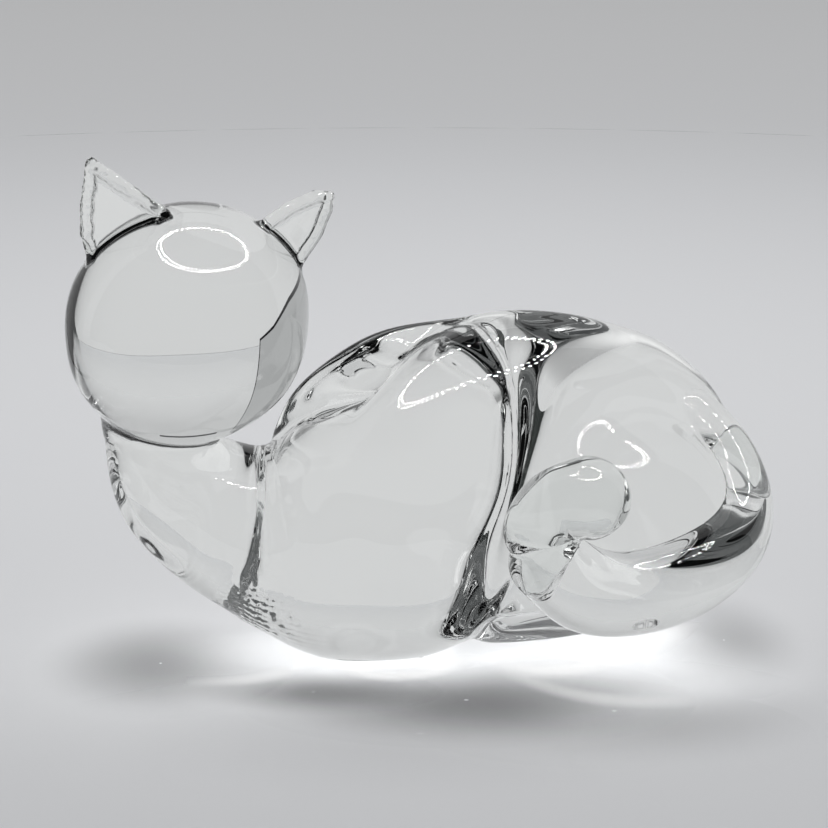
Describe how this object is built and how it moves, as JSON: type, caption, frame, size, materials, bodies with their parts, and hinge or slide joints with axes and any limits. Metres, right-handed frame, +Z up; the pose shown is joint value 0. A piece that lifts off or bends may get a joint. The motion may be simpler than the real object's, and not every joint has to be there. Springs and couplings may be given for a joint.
{
  "type": "solid glass reclining cat figurine",
  "caption": "Reclining cat of solid clear glass: ball head with pinched ears, neck, creased body and a tail curled round the haunch.",
  "frame": {"origin": "on the ground under the middle of the whole figurine", "axes": "+Z up, +X from the head towards the tail, -Y towards the side that the tail lies on"},
  "size_m": [0.189, 0.099, 0.1367],
  "materials": {
    "clear_glass": "polished clear glass with a faint green-grey tint in thick places"
  },
  "bodies": {
    "root": {"head": "clear_glass", "ear_left": "clear_glass", "ear_right": "clear_glass", "neck": "clear_glass", "torso": "clear_glass", "haunch": "clear_glass", "tail": "clear_glass", "tail_tip": "clear_glass"}
  },
  "joints": []
}
